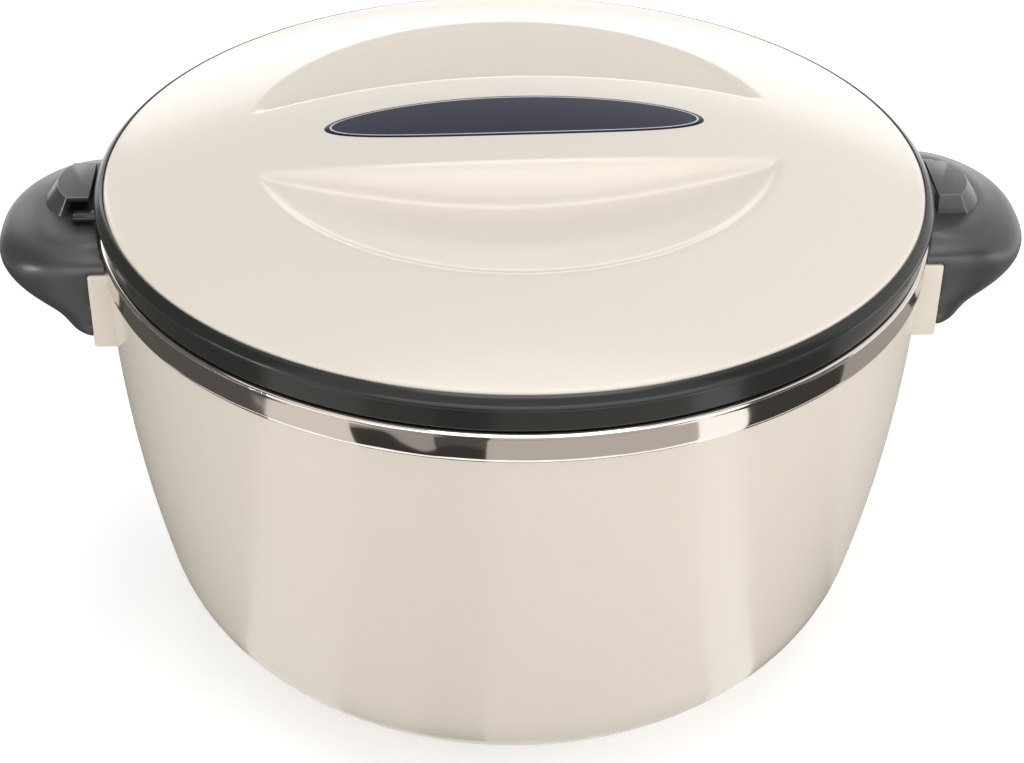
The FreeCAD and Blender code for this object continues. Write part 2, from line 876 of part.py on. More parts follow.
# Lid form: a dome with two finger wells either side of a bridge, inset by a wall thickness.
# The wells are dished from the well circle down to the foot of the bridge.
def lid_form(name, inset):
    body = new_body(name)
    edge_radius = lid_radius - inset
    arc = crown_arc - inset
    centre_z = lid_crown - crown_arc
    edge_z = centre_z + (arc * arc - edge_radius * edge_radius).root()
    well = size.well_radius + inset
    well_z = centre_z + (arc * arc - well * well).root()
    floor_z = well_floor - inset
    start = (zero, deck_top)
    turned(body, name + "_dish", start, [
        (edge_radius, deck_top),
        (edge_radius, edge_z),
        (well, well_z, arc, 1),
        (size.bridge_half_width, floor_z),
        (zero, floor_z),
        start,
    ])

    # The bridge's sides are arcs in plan, drafted so that the foot is wider than the top
    narrowing = size.bridge_half_width - size.bridge_end_half_width
    bow = (size.well_radius * size.well_radius + narrowing * narrowing) / (narrowing * 2)
    low = floor_z - size.lid_wall
    spread = (lid_crown - low) * draft_slope - inset
    side_arc = bow + spread
    end_x = size.well_radius + size.bridge_half_width / 2
    end_y = size.bridge_half_width - bow + (side_arc * side_arc - end_x * end_x).root()

    def bridge_outline(sketch):
        outline(sketch, (end_x, -end_y), [
            (end_x, end_y),
            (-end_x, end_y, side_arc, 1),
            (-end_x, -end_y),
            (end_x, -end_y, side_arc, 1),
        ])

    top = lid_crown + size.lid_wall
    raised(body, name + "_bridge", low, top - low, bridge_outline, -size.bridge_draft)

    # Everything above the dome is turned away
    sky = top + size.lid_wall
    crown = centre_z + arc
    turned(body, name + "_crown", (zero, crown), [
        (edge_radius, edge_z, arc, -1),
        (edge_radius, sky),
        (zero, sky),
        (zero, crown),
    ], "PartDesign::Groove")
    return body


draft_slope = Size(math.tan(math.radians(size.bridge_draft.value)),
                   "tan(%s * 1 deg)" % size.bridge_draft.text)


# Oval plate that follows the dome, used for the badge and, a little larger, for its recess
def oval_plate(name, grow, below, above):
    band = new_body(name + "_band")
    centre_z = lid_crown - crown_arc
    reach = size.badge_half_length + size.badge_half_width
    lower = crown_arc - below
    upper = crown_arc + above
    lower_z = centre_z + (lower * lower - reach * reach).root()
    upper_z = centre_z + (upper * upper - reach * reach).root()
    turned(band, name + "_layer", (zero, centre_z + lower), [
        (reach, lower_z, lower, -1),
        (reach, upper_z),
        (zero, centre_z + upper, upper, 1),
        (zero, centre_z + lower),
    ])
    oval = document.addObject("Part::Ellipse", name + "_oval")
    bind(oval, "MajorRadius", size.badge_half_length + grow)
    bind(oval, "MinorRadius", size.badge_half_width + grow)
    bind(oval, "Placement.Base.z", lid_edge)
    column = document.addObject("Part::Extrusion", name + "_column")
    column.Base = oval
    column.DirMode = "Custom"
    column.Dir = Vector(0, 0, 1)
    column.Solid = True
    bind(column, "LengthFwd", size.crown_rise * 2)
    plate = document.addObject("Part::Common", name)
    plate.Base = band
    plate.Tool = column
    return plate


# Stainless pan that closes the lid from below
def make_liner():
    body = new_body("lid_liner")
    wall = size.liner_wall
    foot = liner_foot_radius
    corner = size.liner_corner
    start = (zero, liner_bottom)
    turned(body, "liner_profile", start, [
        (foot - corner, liner_bottom),
        (foot, liner_bottom + corner, corner, 1),
        (liner_radius, deck_top),
        (liner_flange_radius, deck_top),
        (liner_flange_radius, deck_top + wall),
        (liner_radius - wall, deck_top + wall),
        (foot - wall, liner_bottom + corner),
        (foot - corner, liner_bottom + wall, corner - wall, -1),
        (zero, liner_bottom + wall),
        start,
    ])

    def fill_outline(sketch):
        hole_circle(sketch, zero, zero, size.lid_hole)

    sunk(body, "liner_opening", liner_bottom, wall, fill_outline)
    return body


def make_pan_fill():
    body = new_body("lid_pan_fill")
    wall = size.liner_wall
    foot = liner_foot_radius
    corner = size.liner_corner
    start = (zero, liner_bottom + wall)
    turned(body, "pan_fill_profile", start, [
        (foot - corner, liner_bottom + wall),
        (foot - wall, liner_bottom + corner, corner - wall, 1),
        (liner_radius - wall, deck_top + wall),
        (zero, deck_top + wall),
        start,
    ])
    return body


def make_seal():
    body = new_body("lid_seal")
    low = flange_top + size.seal_lift
    start = (seal_inner_radius, low)
    turned(body, "seal_profile", start, [
        (seal_outer_radius, low),
        (seal_outer_radius, deck_bottom),
        (seal_inner_radius, deck_bottom),
        start,
    ])
    return body


# Build the pot
parts = {}
parts["outer_shell"] = make_shell()
parts["rim_band"] = make_band()
parts["inner_vessel"] = make_vessel()
parts["base_plate"] = make_base_plate()
parts["base_screws"] = make_base_screws()
parts["foam_fill_plug"] = make_plug("foam_fill_plug", size.fill_hole, size.plug_head, recess_top,
                                    size.shell_wall + size.plug_reach)
parts["right_handle_screws"] = make_handle_screws("right_handle")
parts["left_handle_screws"] = opposite("left_handle_screws", parts["right_handle_screws"])
all_handle_screws = joined("all_handle_screws",
                           [parts["right_handle_screws"], parts["left_handle_screws"]])
parts["body_foam"] = make_body_foam(all_handle_screws)

# Build the handles and latch caps on the right, and turn copies of them to the left
leg_bores = [handle_screw_rod("leg_bore", screw_hole, side) for side in (1, -1)]
roof_bores = cap_screw_rods("roof_bore", size.cap_screw_radius + size.screw_gap, grip_roof,
                            hood_height - grip_roof)
handle_bores = joined("handle_bores", leg_bores + roof_bores)
parts["right_handle"] = make_handle("right", handle_bores)
parts["left_handle"] = opposite("left_handle", parts["right_handle"])

cap_bores = joined("cap_bores", cap_screw_rods("cap_bore", size.cap_screw_radius + size.screw_gap,
                                               hood_height,
                                               size.cap_screw_bite + size.screw_gap))
parts["right_latch_cap"] = less("right_latch_cap", make_cap("right"), cap_bores)
parts["left_latch_cap"] = opposite("left_latch_cap", parts["right_latch_cap"])

cap_shanks = cap_screw_rods("cap_shank", size.cap_screw_radius, grip_roof,
                            hood_height - grip_roof + size.cap_screw_bite)
cap_heads = cap_screw_rods("cap_head", size.cap_screw_head, grip_roof - size.head_height,
                           size.head_height)
parts["right_cap_screws"] = joined("right_cap_screws", cap_shanks + cap_heads)
parts["left_cap_screws"] = opposite("left_cap_screws", parts["right_cap_screws"])

# Build the lid
parts["lid_ring"] = make_ring()
lid_outside = lid_form("lid_outside", zero)
lid_inside = lid_form("lid_inside", size.lid_wall)
badge_recess = oval_plate("badge_recess", size.badge_gap, size.badge_depth, size.lid_wall)
lid_cutters = joined("lid_cutters", [lid_inside, badge_recess])
parts["lid_top"] = less("lid_top", lid_outside, lid_cutters)
parts["badge"] = oval_plate("badge", zero, size.badge_depth, size.badge_proud)
parts["lid_liner"] = make_liner()
parts["lid_fill_plug"] = make_plug("lid_fill_plug", size.lid_hole, size.lid_plug_head,
                                   liner_bottom, size.liner_wall + size.lid_wall)
stem_room = rod("lid_stem_room", size.lid_hole, size.liner_wall + size.lid_wall,
                zero, zero, liner_bottom)
foam_block = joined("lid_foam_block", [lid_inside, make_pan_fill()])
foam_cutters = joined("lid_foam_cutters", [parts["lid_liner"], stem_room])
parts["lid_foam"] = less("lid_foam", foam_block, foam_cutters)
parts["lid_seal"] = make_seal()

# The bridge and the badge lie a little off the handles' line while the lid is unlocked
for name in ("lid_top", "badge", "lid_foam"):
    parts[name].Placement = Placement(Vector(0, 0, 0),
                                      Rotation(Vector(0, 0, 1), size.bridge_turn.value))
    bind(parts[name], "Placement.Rotation.Angle", size.bridge_turn)

document.recompute()

# Label, check and write
for name, part in parts.items():
    part.Label = name
for item in document.Objects:
    if "Invalid" in item.State or "Error" in item.State:
        raise RuntimeError("%s failed: %s" % (item.Name, item.State))
for name, part in sorted(parts.items()):
    shape = part.Shape
    if shape.isNull() or not shape.isValid() or not shape.Solids:
        raise RuntimeError("%s has no valid solid" % name)
    shape.exportStep(os.path.join("parts", name + ".step"))
    print("%-22s %d solids %10.1f mm3" % (name, len(shape.Solids), shape.Volume))
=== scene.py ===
import math

import bpy
import bmesh
from mathutils import Matrix, Vector


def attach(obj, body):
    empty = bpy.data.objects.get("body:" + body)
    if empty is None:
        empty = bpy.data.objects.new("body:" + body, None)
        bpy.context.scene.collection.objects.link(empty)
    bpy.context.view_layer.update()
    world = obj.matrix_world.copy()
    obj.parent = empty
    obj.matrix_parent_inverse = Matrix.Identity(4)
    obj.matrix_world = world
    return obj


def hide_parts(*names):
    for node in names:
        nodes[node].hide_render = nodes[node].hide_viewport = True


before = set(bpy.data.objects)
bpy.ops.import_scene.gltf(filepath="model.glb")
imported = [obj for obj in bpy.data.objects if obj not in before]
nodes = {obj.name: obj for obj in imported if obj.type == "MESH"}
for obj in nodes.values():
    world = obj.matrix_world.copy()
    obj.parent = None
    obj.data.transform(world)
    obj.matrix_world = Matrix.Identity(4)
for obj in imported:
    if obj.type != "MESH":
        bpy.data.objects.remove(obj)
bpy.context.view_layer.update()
print("frame loaded:", len(nodes), "nodes")

mm = 0.001


# Small helpers

def srgb(hexText, alpha=1.0):
    # sRGB hex to the linear numbers that the shaders use
    linear = []
    for i in (0, 2, 4):
        c = int(hexText[i:i + 2], 16) / 255
        linear.append(c / 12.92 if c <= 0.04045 else ((c + 0.055) / 1.055) ** 2.4)
    return (*linear, alpha)


def addNode(tree, kind, settings=None, inputs=None, links=None):
    # settings are properties, inputs are socket values, links are {input: (node, output)}
    node = tree.nodes.new(kind)
    for key, value in (settings or {}).items():
        setattr(node, key, value)
    for key, value in (inputs or {}).items():
        node.inputs[key].default_value = value
    for key, (source, output) in (links or {}).items():
        tree.links.new(source.outputs[output], node.inputs[key])
    return node


def startMaterial(name):
    material = bpy.data.materials.new(name)
    material.use_nodes = True
    tree = material.node_tree
    shader = tree.nodes["Principled BSDF"]
    coords = addNode(tree, "ShaderNodeTexCoord")
    return material, tree, shader, coords


def perMetre(millimetres):
    # texture scale for a feature of that size, on Object coordinates in metres
    return 1.0 / (millimetres * mm)


def noiseOf(tree, coords, size, detail):
    # cloudy noise whose patches are that many millimetres across
    return addNode(tree, "ShaderNodeTexNoise", {}, {"Scale": perMetre(size), "Detail": detail},
                   {"Vector": (coords, "Object")})


def shaded(colour, share):
    return (colour[0] * share, colour[1] * share, colour[2] * share, 1)


def tintFrom(tree, shader, pattern, output, dark, bright):
    # the base colour runs from dark to bright with the pattern
    tint = addNode(tree, "ShaderNodeValToRGB", links={"Fac": (pattern, output)})
    tint.color_ramp.elements[0].color = dark
    tint.color_ramp.elements[1].color = bright
    tree.links.new(tint.outputs["Color"], shader.inputs["Base Color"])


def roughnessFrom(tree, shader, pattern, output, smoothest, roughest):
    spread = addNode(tree, "ShaderNodeMapRange", {}, {"To Min": smoothest, "To Max": roughest},
                     {"Value": (pattern, output)})
    tree.links.new(spread.outputs["Result"], shader.inputs["Roughness"])


def bumpFrom(tree, shader, pattern, output, depth, strength=1.0):
    # the pattern raises the surface by up to that many millimetres
    bump = addNode(tree, "ShaderNodeBump", {}, {"Strength": strength, "Distance": depth * mm},
                   {"Height": (pattern, output)})
    tree.links.new(bump.outputs["Normal"], shader.inputs["Normal"])


# Materials, each named after what it really is

def mouldedPolypropylene(name, hexColor, roughness, grainSize, grainDepth):
    # glossy moulded polypropylene: a soft broad sheen over a barely rippled skin
    material, tree, shader, coords = startMaterial(name)
    shader.inputs["IOR"].default_value = 1.49
    shader.inputs["Roughness"].default_value = roughness
    base = srgb(hexColor)
    mottled = (base[0] * 0.985, base[1] * 0.985, base[2] * 0.98, 1)
    tintFrom(tree, shader, noiseOf(tree, coords, 60, 3.0), "Fac", mottled, base)
    bumpFrom(tree, shader, noiseOf(tree, coords, grainSize, 2.0), "Fac", grainDepth)
    return material


def mouldedAbs(name, hexColor, roughness, grainSize, grainDepth, specular=0.5):
    # dark ABS from a fine spark-eroded mould: satin, with a grain that breaks up the highlight
    material, tree, shader, coords = startMaterial(name)
    shader.inputs["IOR"].default_value = 1.53
    shader.inputs["Specular IOR Level"].default_value = specular
    wear = noiseOf(tree, coords, 25, 4.0)
    roughnessFrom(tree, shader, wear, "Fac", roughness - 0.03, roughness + 0.05)
    base = srgb(hexColor)
    tintFrom(tree, shader, wear, "Fac", shaded(base, 0.9), base)
    bumpFrom(tree, shader, noiseOf(tree, coords, grainSize, 1.0), "Fac", grainDepth)
    return material


def polishedStainlessSteel(name, hexColor, roughness):
    # roll-formed polished stainless trim: mirror-like, with a slow wave left by the rolling
    material, tree, shader, coords = startMaterial(name)
    shader.inputs["Metallic"].default_value = 1.0
    shader.inputs["Base Color"].default_value = srgb(hexColor)
    shader.inputs["Roughness"].default_value = roughness
    bumpFrom(tree, shader, noiseOf(tree, coords, 26, 1.0), "Fac", 1.3)
    return material


def spunStainlessSteel(name, hexColor, roughness):
    # spun and brushed stainless: fine rings about the pot's axis
    material, tree, shader, coords = startMaterial(name)
    shader.inputs["Metallic"].default_value = 1.0
    shader.inputs["Base Color"].default_value = srgb(hexColor)
    split = addNode(tree, "ShaderNodeSeparateXYZ", links={"Vector": (coords, "Object")})
    xx = addNode(tree, "ShaderNodeMath", {"operation": "POWER"}, {1: 2.0}, {0: (split, "X")})
    radiusSquared = addNode(tree, "ShaderNodeMath", {"operation": "MULTIPLY_ADD"}, {},
                            {0: (split, "Y"), 1: (split, "Y"), 2: (xx, "Value")})
    radius = addNode(tree, "ShaderNodeMath", {"operation": "SQRT"}, {}, {0: (radiusSquared, "Value")})
    rings = addNode(tree, "ShaderNodeCombineXYZ", links={"X": (radius, "Value"), "Y": (split, "Z")})
    lines = addNode(tree, "ShaderNodeTexNoise", {"noise_dimensions": "2D"},
                    {"Scale": perMetre(0.8), "Detail": 2.0}, {"Vector": (rings, "Vector")})
    roughnessFrom(tree, shader, lines, "Fac", roughness - 0.08, roughness + 0.1)
    bumpFrom(tree, shader, lines, "Fac", 0.02, 0.6)
    return material


def zincPlatedSteel(name):
    # bright zinc on screw steel: pale grey with a faint cloudy passivation
    material, tree, shader, coords = startMaterial(name)
    shader.inputs["Metallic"].default_value = 1.0
    shader.inputs["Roughness"].default_value = 0.33
    tintFrom(tree, shader, noiseOf(tree, coords, 1.5, 3.0), "Fac", srgb("9a9c9e"), srgb("c9cac6"))
    return material


def rigidPolyurethaneFoam(name):
    # closed-cell insulation: matt amber cells
    material, tree, shader, coords = startMaterial(name)
    shader.inputs["Roughness"].default_value = 0.95
    cells = addNode(tree, "ShaderNodeTexVoronoi", {}, {"Scale": perMetre(1.2)}, {"Vector": (coords, "Object")})
    tintFrom(tree, shader, cells, "Distance", srgb("b8914a"), srgb("e3c788"))
    bumpFrom(tree, shader, cells, "Distance", 0.3, 0.7)
    return material


def siliconeRubber(name, hexColor):
    # pressed food-grade silicone: milky, matt, with a little light inside
    material, tree, shader, coords = startMaterial(name)
    shader.inputs["IOR"].default_value = 1.41
    shader.inputs["Roughness"].default_value = 0.55
    shader.inputs["Subsurface Weight"].default_value = 0.2
    shader.inputs["Subsurface Scale"].default_value = 1.5 * mm
    base = srgb(hexColor)
    tintFrom(tree, shader, noiseOf(tree, coords, 2.0, 5.0), "Fac", shaded(base, 0.93), base)
    return material


ivory = mouldedPolypropylene("ivoryPolypropylene", "E0D7CA", 0.22, 9.0, 0.02)
ivoryLid = mouldedPolypropylene("ivoryLidPolypropylene", "EAE1D5", 0.2, 9.0, 0.02)
darkAbs = mouldedAbs("darkGreyAbs", "3D3D3C", 0.34, 0.5, 0.012)
capAbs = mouldedAbs("latchCapAbs", "424241", 0.27, 0.5, 0.008)
# a much lighter copy of the cap's ABS, laid on the cap's top and outer edges as a painted highlight
edgeHighlightAbs = mouldedAbs("paintedEdgeHighlightAbs", "858581", 0.22, 0.5, 0.004)
ringAbs = mouldedAbs("glossyDarkAbs", "2A2B28", 0.17, 9.0, 0.01, specular=0.3)
bandSteel = polishedStainlessSteel("polishedStainlessSteel", "DDD5CE", 0.07)
panSteel = spunStainlessSteel("spunStainlessSteel", "C5C2BD", 0.28)
zinc = zincPlatedSteel("zincPlatedSteel")
foam = rigidPolyurethaneFoam("polyurethaneFoam")
silicone = siliconeRubber("siliconeRubber", "D8D6D0")
navy = mouldedAbs("navyPrintedAbs", "171B30", 0.3, 0.4, 0.003, specular=0.1)
silverPrint = zincPlatedSteel("silverHotFoil")

nodeMaterials = {
    "outer_shell": ivory, "base_plate": ivory, "lid_top": ivoryLid,
    "rim_band": bandSteel, "inner_vessel": panSteel, "lid_liner": panSteel,
    "body_foam": foam, "lid_foam": foam,
    "foam_fill_plug": darkAbs, "lid_fill_plug": darkAbs,
    "left_handle": darkAbs, "right_handle": darkAbs,
    "left_latch_cap": capAbs, "right_latch_cap": capAbs,
    "lid_ring": ringAbs, "badge": navy, "lid_seal": silicone,
    "base_screws": zinc, "left_handle_screws": zinc, "right_handle_screws": zinc,
    "left_cap_screws": zinc, "right_cap_screws": zinc,
}
for nodeName, material in nodeMaterials.items():
    mesh = nodes[nodeName].data
    mesh.materials.clear()
    mesh.materials.append(material)
print("materials on", len(nodeMaterials), "nodes")


# Modelling helpers

def clearSelection():
    if bpy.context.mode != "OBJECT":
        bpy.ops.object.mode_set(mode="OBJECT")
    bpy.ops.object.select_all(action="DESELECT")


def finishPiece(piece, name, body, materials, replaced, smoothAngle):
    # names the piece, gives it its place, body, finish and smooth shading
    clearSelection()
    piece.name = name
    piece.data.name = name
    piece.select_set(True)
    bpy.context.view_layer.objects.active = piece
    bpy.ops.object.transform_apply(location=True, rotation=True, scale=True)
    bpy.ops.object.shade_smooth_by_angle(angle=math.radians(smoothAngle))
    if not piece.data.materials:
        for material in materials:
            piece.data.materials.append(material)
    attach(piece, body)
    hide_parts(*replaced)
    print(name, "made with", len(piece.data.polygons), "faces")


def applyModifier(piece, kind, **settings):
    clearSelection()
    piece.select_set(True)
    bpy.context.view_layer.objects.active = piece
    modifier = piece.modifiers.new(kind.title(), kind)
    for key, value in settings.items():
        setattr(modifier, key, value)
    bpy.ops.object.modifier_apply(modifier=modifier.name)


def roundedBlock(limits, rounding, segments):
    # a block between the (low, high) limits of x, y and z, its edges bevelled, in mm
    clearSelection()
    bpy.ops.mesh.primitive_cube_add(size=1)
    piece = bpy.context.active_object
    piece.scale = [(high - low) * mm for low, high in limits]
    piece.location = [(low + high) / 2 * mm for low, high in limits]
    bpy.ops.object.transform_apply(location=True, rotation=True, scale=True)
    bpy.ops.object.mode_set(mode="EDIT")
    bpy.ops.mesh.select_all(action="SELECT")
    bpy.ops.mesh.bevel(offset=rounding * mm, segments=segments, affect="EDGES")
    bpy.ops.object.mode_set(mode="OBJECT")
    return piece


def joinTo(piece, others):
    clearSelection()
    for other in others + [piece]:
        other.select_set(True)
    bpy.context.view_layer.objects.active = piece
    bpy.ops.object.join()


def turnProfile(corners, steps):
    # draws a closed outline in the XZ plane by extruding one point along, rounds its corners
    # and spins it about the pot's axis. A corner is (x, z) or (x, z, rounding), in mm
    clearSelection()
    bpy.ops.mesh.primitive_plane_add(size=mm)
    bpy.ops.object.mode_set(mode="EDIT")
    bpy.ops.mesh.select_all(action="SELECT")
    bpy.ops.mesh.merge(type="CENTER")
    here = (0.0, 0.0)
    for index, corner in enumerate(corners + corners[:1]):
        step = ((corner[0] - here[0]) * mm, 0, (corner[1] - here[1]) * mm)
        if index == 0:
            bpy.ops.transform.translate(value=step)
        else:
            bpy.ops.mesh.extrude_region_move(TRANSFORM_OT_translate={"value": step})
        here = corner[:2]
    bpy.ops.mesh.select_all(action="SELECT")
    bpy.ops.mesh.remove_doubles(threshold=0.001 * mm)
    piece = bpy.context.active_object
    rounded = [corner for corner in corners if len(corner) > 2]
    for rounding in sorted({corner[2] for corner in rounded}, reverse=True):
        spots = [Vector((corner[0] * mm, 0, corner[1] * mm)) for corner in rounded if corner[2] == rounding]
        outline = bmesh.from_edit_mesh(piece.data)
        bpy.ops.mesh.select_all(action="DESELECT")
        for vert in outline.verts:
            vert.select_set(any((vert.co - spot).length < 0.005 * mm for spot in spots))
        outline.select_flush_mode()
        bmesh.update_edit_mesh(piece.data)
        bpy.ops.mesh.bevel(offset=rounding * mm, offset_type="OFFSET", segments=4, affect="VERTICES")
    bpy.ops.mesh.select_all(action="SELECT")
    bpy.ops.mesh.spin(steps=steps, angle=math.tau, center=(0, 0, 0), axis=(0, 0, 1))
    bpy.ops.mesh.select_all(action="SELECT")
    bpy.ops.mesh.remove_doubles(threshold=0.002 * mm)
    bpy.ops.mesh.normals_make_consistent(inside=False)
    bpy.ops.object.mode_set(mode="OBJECT")
    return piece


def arcPoints(centre, radius, first, last, count):
    # points along an arc in degrees, in mm
    points = []
    for i in range(count + 1):
        angle = math.radians(first + (last - first) * i / count)
        points.append((centre[0] + radius * math.cos(angle), centre[1] + radius * math.sin(angle)))
    return points


def ringsInward(scales):
    # extrudes the selected open loop and scales it, ring after ring
    for across, along in scales:
        bpy.ops.mesh.extrude_edges_move(TRANSFORM_OT_translate={"value": (0, 0, 0)})
        bpy.ops.transform.resize(value=(across, along, 1))


def softPositive(value, width):
    # zero below, the value above, and a rounded bend of that width between
    if value <= -width:
        return 0.0
    if value >= width:
        return value
    return (value + width) ** 2 / (4 * width)


def softLower(first, second, width):
    # the lower of two depths, with a rounded bend where they meet
    low = min(first, second)
    width = min(width, 1.2 * low)
    if width <= 1e-6:
        return low
    share = max(width - abs(first - second), 0) / width
    return low - share * share * width / 4


def mergedCopy(nodeName, flat):
    # a copy of a CAD piece, its doubled vertices merged and its faces whole where they are flat
    # to within that many degrees
    clearSelection()
    piece = bpy.data.objects.new(nodeName + "Copy", nodes[nodeName].data.copy())
    bpy.context.scene.collection.objects.link(piece)
    piece.select_set(True)
    bpy.context.view_layer.objects.active = piece
    piece.data.materials.clear()
    bpy.ops.mesh.customdata_custom_splitnormals_clear()
    bpy.ops.object.mode_set(mode="EDIT")
    bpy.ops.mesh.select_all(action="SELECT")
    bpy.ops.mesh.remove_doubles(threshold=0.002 * mm)
    bpy.ops.mesh.dissolve_limited(angle_limit=math.radians(flat))
    bpy.ops.object.mode_set(mode="OBJECT")
    return piece


# Lid top

lidSet = {
    "radius": 143.7, "edge": 184.2, "crown": 204.0, "seat": 180.6,
    "wellRadius": 94.0, "wellFloor": 188.0,
    "bridgeHalf": 32.6, "bridgeEndHalf": 19.0, "draft": 22.0, "turn": 2.0,
    "topRound": 3.0, "footRound": 5.0, "wellRound": 0.6, "rimRound": 1.3,
    "edgeWall": 0.8, "edgeSpread": 5.0,
    "wall": 2.4, "rings": 112, "spokes": 360,
}
rise = lidSet["crown"] - lidSet["edge"]
crownArc = (lidSet["radius"] ** 2 + rise ** 2) / (2 * rise)
crownCentre = lidSet["crown"] - crownArc


def domeHeight(reach):
    return crownCentre + math.sqrt(crownArc ** 2 - reach ** 2)


def lidHeight(x, y):
    # the dome, less two dished finger wells either side of the bridge, all in mm
    turn = math.radians(-lidSet["turn"])
    along = x * math.cos(turn) - y * math.sin(turn)
    across = abs(x * math.sin(turn) + y * math.cos(turn))
    reach = math.hypot(x, y)
    dome = domeHeight(reach)
    half, wellRadius = lidSet["bridgeHalf"], lidSet["wellRadius"]
    slope = (domeHeight(wellRadius) - lidSet["wellFloor"]) / (wellRadius - half)
    dish = lidSet["wellFloor"] + max(reach - half, 0) * slope
    # a small steeper wall just inside the well's outer edge
    inward = min(max((wellRadius - reach) / lidSet["edgeSpread"], 0), 1)
    outward = max(reach - half, 0) / (wellRadius - half)
    dish -= lidSet["edgeWall"] * inward * inward * (3 - 2 * inward) * outward
    wellDepth = softPositive(dome - dish, lidSet["wellRound"])
    narrowing = half - lidSet["bridgeEndHalf"]
    bow = (wellRadius ** 2 + narrowing ** 2) / (2 * narrowing)
    outside = math.hypot(along, across + bow - half) - bow
    wall = lidSet["crown"] - outside / math.tan(math.radians(lidSet["draft"]))
    wallDepth = softPositive(dome - wall, lidSet["topRound"])
    return dome - softLower(wellDepth, wallDepth, lidSet["footRound"])


def makeLidTop():
    clearSelection()
    bpy.ops.mesh.primitive_circle_add(vertices=lidSet["spokes"], radius=lidSet["radius"] * mm)
    piece = bpy.context.active_object
    bpy.ops.object.mode_set(mode="EDIT")
    bpy.ops.mesh.select_all(action="SELECT")
    # down the rim first, then rings from the rim to the crown
    rim = lidSet["rimRound"]
    bpy.ops.mesh.extrude_edges_move(TRANSFORM_OT_translate={"value": (0, 0, 0.001)})
    reaches = [lidSet["radius"] - rim * (1 - math.cos(math.radians(a))) for a in (30, 60, 90)]
    inner = reaches[-1]
    reaches += [inner * (1 - (i + 1) / lidSet["rings"]) for i in range(lidSet["rings"] - 1)]
    previous = lidSet["radius"]
    scales = []
    for reach in reaches:
        scales.append((reach / previous, reach / previous))
        previous = reach
    ringsInward(scales)
    bpy.ops.mesh.merge(type="CENTER")
    bpy.ops.object.mode_set(mode="OBJECT")
    spokes = lidSet["spokes"]
    for index, vert in enumerate(piece.data.vertices):
        reach = math.hypot(vert.co.x, vert.co.y) / mm
        drop = max(reach - inner, 0) / rim
        roll = rim * (1 - math.sqrt(max(1 - drop * drop, 0)))
        level = lidHeight(vert.co.x / mm, vert.co.y / mm) - roll
        if index < spokes:
            level = lidSet["seat"]
        vert.co.z = level * mm
    bpy.ops.object.mode_set(mode="EDIT")
    bpy.ops.mesh.select_all(action="SELECT")
    bpy.ops.mesh.normals_make_consistent(inside=False)
    bpy.ops.object.mode_set(mode="OBJECT")
    if piece.data.polygons[len(piece.data.polygons) // 2].normal.z < 0:
        piece.data.flip_normals()
    applyModifier(piece, "SOLIDIFY", thickness=lidSet["wall"] * mm, offset=-1)
    finishPiece(piece, "lidTop", "lid", [ivoryLid], ["lid_top"], 60)


makeLidTop()


# Badge

badgeSet = {
    "halfLength": 66.5, "halfWidth": 13.8, "frontWidth": 15.4, "turn": 2.0, "proud": 0.25, "depth": 0.85,
    "edgeRound": 0.25,
    "lineOuter": (0.972, 0.93), "lineWidth": 0.5, "lineTip": 0.7, "plate": 0.6, "rings": 14, "spokes": 160,
}


def makeBadge():
    clearSelection()
    bpy.ops.mesh.primitive_circle_add(vertices=badgeSet["spokes"], radius=mm)
    piece = bpy.context.active_object
    bpy.ops.object.mode_set(mode="EDIT")
    bpy.ops.mesh.select_all(action="SELECT")
    length, width = badgeSet["halfLength"], badgeSet["halfWidth"]
    bpy.ops.transform.resize(value=(length, width, 1))
    soft = badgeSet["edgeRound"]
    sizes = [(length, width), (length - soft, width - soft)]
    sizes.append((length * badgeSet["lineOuter"][0], width * badgeSet["lineOuter"][1]))
    sizes.append((sizes[-1][0] - badgeSet["lineTip"], sizes[-1][1] - badgeSet["lineWidth"]))
    lineInner = sizes[-1]
    for i in range(1, badgeSet["rings"]):
        share = 1 - i / badgeSet["rings"]
        sizes.append((lineInner[0] * share, lineInner[1] * share))
    scales = []
    previous = (length, width)
    for item in sizes:
        scales.append((item[0] / previous[0], item[1] / previous[1]))
        previous = item
    ringsInward(scales)
    bpy.ops.mesh.merge(type="CENTER")
    bpy.ops.object.mode_set(mode="OBJECT")
    spokes = badgeSet["spokes"]
    for index, vert in enumerate(piece.data.vertices):
        if vert.co.y < 0:
            vert.co.y *= badgeSet["frontWidth"] / width
        level = domeHeight(math.hypot(vert.co.x, vert.co.y) / mm)
        if index < spokes:
            level -= badgeSet["depth"]
        elif index < 2 * spokes:
            level += badgeSet["proud"] - soft
        else:
            level += badgeSet["proud"]
        vert.co.z = level * mm
    # the thin bright border line lies between the third and the fourth ring
    piece.data.materials.append(navy)
    piece.data.materials.append(silverPrint)
    outer = badgeSet["lineOuter"]
    for face in piece.data.polygons:
        across = face.center.y
        if across < 0:
            across *= width / badgeSet["frontWidth"]
        within = math.hypot(face.center.x / (length * outer[0] * mm), across / (width * outer[1] * mm)) < 1
        past = math.hypot(face.center.x / (lineInner[0] * mm), across / (lineInner[1] * mm)) > 1
        face.material_index = 1 if within and past else 0
    piece.rotation_euler.z = math.radians(badgeSet["turn"])
    bpy.ops.object.mode_set(mode="EDIT")
    bpy.ops.mesh.select_all(action="SELECT")
    bpy.ops.mesh.normals_make_consistent(inside=False)
    bpy.ops.object.mode_set(mode="OBJECT")
    if piece.data.polygons[-1].normal.z < 0:
        piece.data.flip_normals()
    applyModifier(piece, "SOLIDIFY", thickness=badgeSet["plate"] * mm, offset=-1)
    finishPiece(piece, "badgePlate", "lid", [navy, silverPrint], ["badge"], 50)


makeBadge()


# Lid ring with its two lugs

